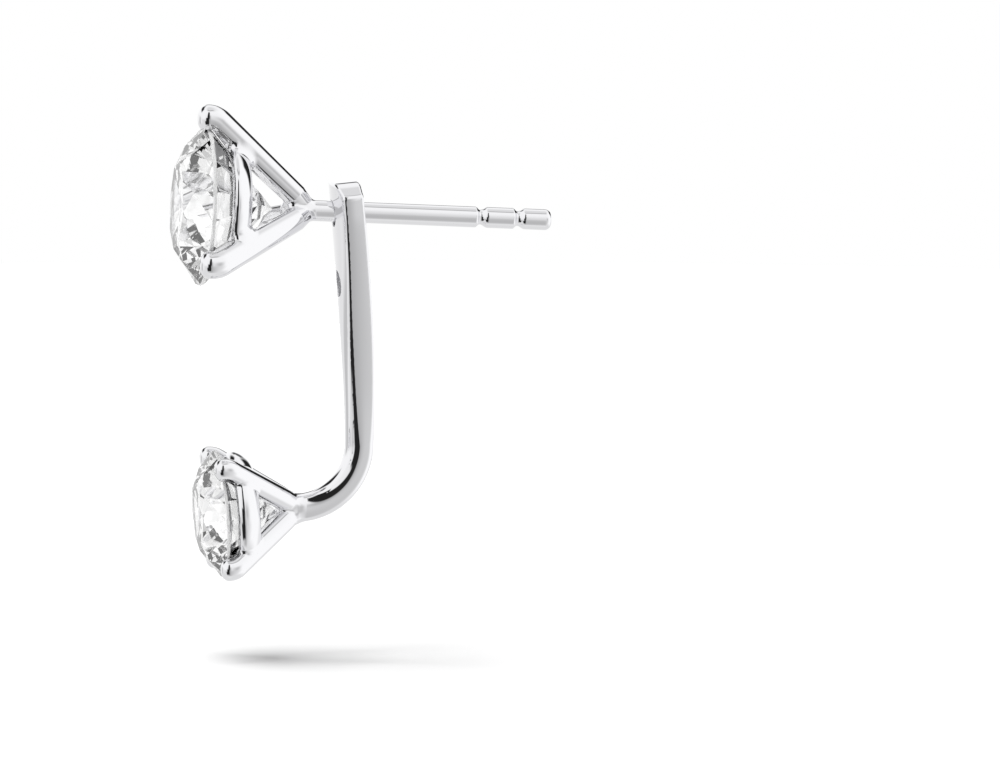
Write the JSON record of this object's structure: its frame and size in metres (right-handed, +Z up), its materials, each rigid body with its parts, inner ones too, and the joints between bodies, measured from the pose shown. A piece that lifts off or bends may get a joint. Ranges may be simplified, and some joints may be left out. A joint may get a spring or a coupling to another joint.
{
  "type": "ear jacket earring",
  "caption": "Diamond stud with a notched post and a hanging ear jacket: a drilled plate and curved arm that carry a smaller prong-set stone below the ear lobe.",
  "frame": {"origin": "where the post leaves the stud's basket, on the post's axis, at the front of the ear lobe", "axes": "+Y along the post towards its end, so the stones face -Y; +Z up, with the jacket hanging towards -Z; +X to the side"},
  "size_m": [0.0075, 0.0155, 0.0194],
  "materials": {
    "white_gold": "mirror polished",
    "diamond": "faceted and polished"
  },
  "bodies": {
    "stud": {"stud_mounting": "white_gold", "stud_stone": "diamond"},
    "jacket": {"jacket_mounting": "white_gold", "drop_stone": "diamond"}
  },
  "joints": [
    {"name": "jacket_swing", "type": "hinge", "parent": "stud", "child": "jacket", "pos_m": [0, 0.00145, 0], "axis": [0, 1, 0], "continuous": true}
  ]
}
